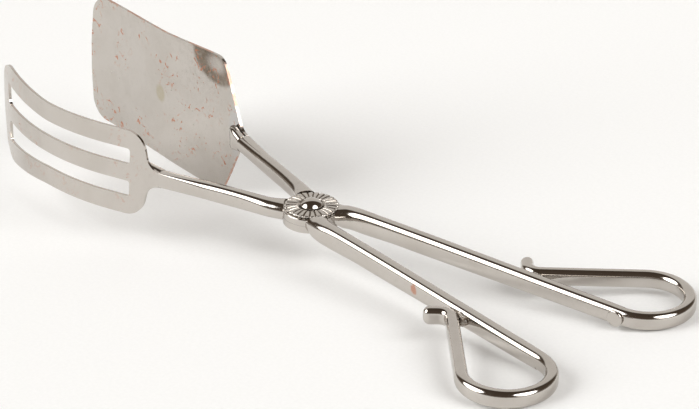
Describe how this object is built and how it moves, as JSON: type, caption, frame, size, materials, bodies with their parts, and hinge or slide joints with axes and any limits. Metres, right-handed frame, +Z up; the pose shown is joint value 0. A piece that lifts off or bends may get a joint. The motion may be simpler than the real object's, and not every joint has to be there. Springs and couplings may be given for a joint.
{
  "type": "serving tongs",
  "caption": "Scissor-action metal tongs: a broad spatula blade and a slotted fork blade on riveted arms with finger loops.",
  "frame": {"origin": "centre of the bounding box in X and Y, on the table the tongs rest on (Z = 0)", "axes": "+X along the tongs from the blades towards the finger loops, +Y from the fork blade's side towards the spatula blade's side, +Z up"},
  "size_m": [0.2656, 0.0896, 0.0552],
  "materials": {
    "spatula_arm": "polished nickel plate over a copper underplate",
    "spatula_blade": "polished nickel plate worn through to copper in scratches and along the edges",
    "spatula_finger_loop": "polished nickel plate over a copper underplate",
    "spatula_loop_bead": "braze metal under nickel plate",
    "rosette": "nickel-plated, dark tarnish in the flutes",
    "rivet": "polished nickel plate over a copper underplate",
    "back_washer": "polished nickel plate over a copper underplate",
    "fork_arm": "polished nickel plate over a copper underplate",
    "fork_blade": "polished nickel plate over a copper underplate, faint cloudy stains",
    "fork_finger_loop": "polished nickel plate over a copper underplate",
    "fork_loop_bead": "braze metal under nickel plate",
    "fork_stop_button": "polished nickel plate over a copper underplate"
  },
  "bodies": {
    "spatula_side": {"spatula_arm": "spatula_arm", "spatula_blade": "spatula_blade", "spatula_finger_loop": "spatula_finger_loop", "spatula_loop_bead": "spatula_loop_bead", "rosette": "rosette", "rivet": "rivet", "back_washer": "back_washer"},
    "fork_side": {"fork_arm": "fork_arm", "fork_blade": "fork_blade", "fork_finger_loop": "fork_finger_loop", "fork_loop_bead": "fork_loop_bead", "fork_stop_button": "fork_stop_button"}
  },
  "joints": [
    {"name": "pivot", "type": "hinge", "parent": "spatula_side", "child": "fork_side", "pos_m": [0.01018, 0, 0.01719], "axis": [0.1193, 0, 0.9929], "range_deg": [-15, 30]}
  ]
}
